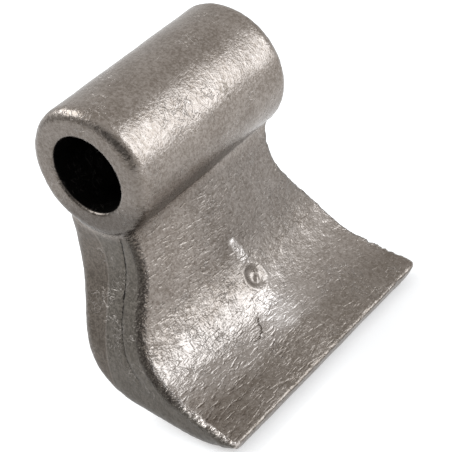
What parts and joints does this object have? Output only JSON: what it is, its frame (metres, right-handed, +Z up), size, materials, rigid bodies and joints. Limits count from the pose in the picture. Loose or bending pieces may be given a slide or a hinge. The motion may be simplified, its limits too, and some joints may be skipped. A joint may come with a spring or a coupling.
{
  "type": "shredder hammer",
  "caption": "Forged steel shredder hammer: a round eye with a through bore hangs on its pivot bolt, and a thick leg flares into a wide blade with a hollow striking face and a blunt lip.",
  "frame": {"origin": "on the bore's axis, halfway along the eye", "axes": "+Y along the bore, +X the way the hammer strikes, +Z up, away from the blade"},
  "size_m": [0.0505, 0.0816, 0.0848],
  "materials": {
    "forged_steel": "as forged and shot blasted, bare, with a fine rough grain"
  },
  "bodies": {
    "root": {"hammer": "forged_steel"}
  },
  "joints": []
}
